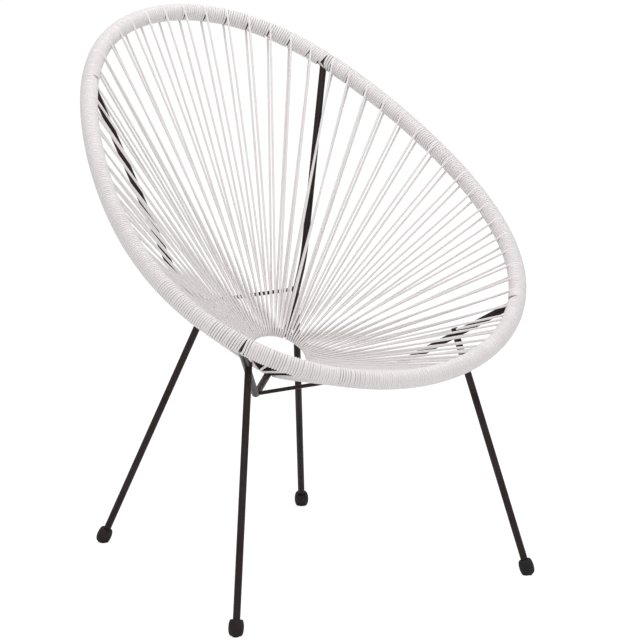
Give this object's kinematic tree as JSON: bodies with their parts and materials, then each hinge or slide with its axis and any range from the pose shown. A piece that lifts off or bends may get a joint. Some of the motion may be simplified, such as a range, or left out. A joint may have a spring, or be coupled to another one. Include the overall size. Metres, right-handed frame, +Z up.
{
  "type": "acapulco chair",
  "caption": "Low patio lounge chair: a tilted egg-shaped steel hoop laced with white cord to a small seat ring, on splayed black rod legs with rubber feet.",
  "frame": {"origin": "on the floor, under the middle of the bounding box", "axes": "+Z up, -Y towards the front edge of the seat, +X to the right for someone who looks at the chair from the front"},
  "size_m": [0.7178, 0.7756, 0.9153],
  "materials": {
    "frame_steel": "satin black-brown powder coat",
    "cord": "satin white round cord",
    "foot_rubber": "matt black"
  },
  "bodies": {
    "root": {"hoop_tube": "frame_steel", "seat_ring": "frame_steel", "rib_back_left": "frame_steel", "rib_back_right": "frame_steel", "rib_front_left": "frame_steel", "rib_front_right": "frame_steel", "leg_back_left": "frame_steel", "leg_back_right": "frame_steel", "leg_front_left": "frame_steel", "leg_front_right": "frame_steel", "brace_back": "frame_steel", "brace_front": "frame_steel", "lacing_front_inner_left": "cord", "lacing_front_outer_left": "cord", "lacing_side_1_left": "cord", "lacing_side_2_left": "cord", "lacing_side_3_left": "cord", "lacing_side_4_left": "cord", "lacing_back_left": "cord", "lacing_front_inner_right": "cord", "lacing_front_outer_right": "cord", "lacing_side_1_right": "cord", "lacing_side_2_right": "cord", "lacing_side_3_right": "cord", "lacing_side_4_right": "cord", "lacing_back_right": "cord", "foot_cap_back_left": "foot_rubber", "foot_cap_back_right": "foot_rubber", "foot_cap_front_left": "foot_rubber", "foot_cap_front_right": "foot_rubber"}
  },
  "joints": []
}
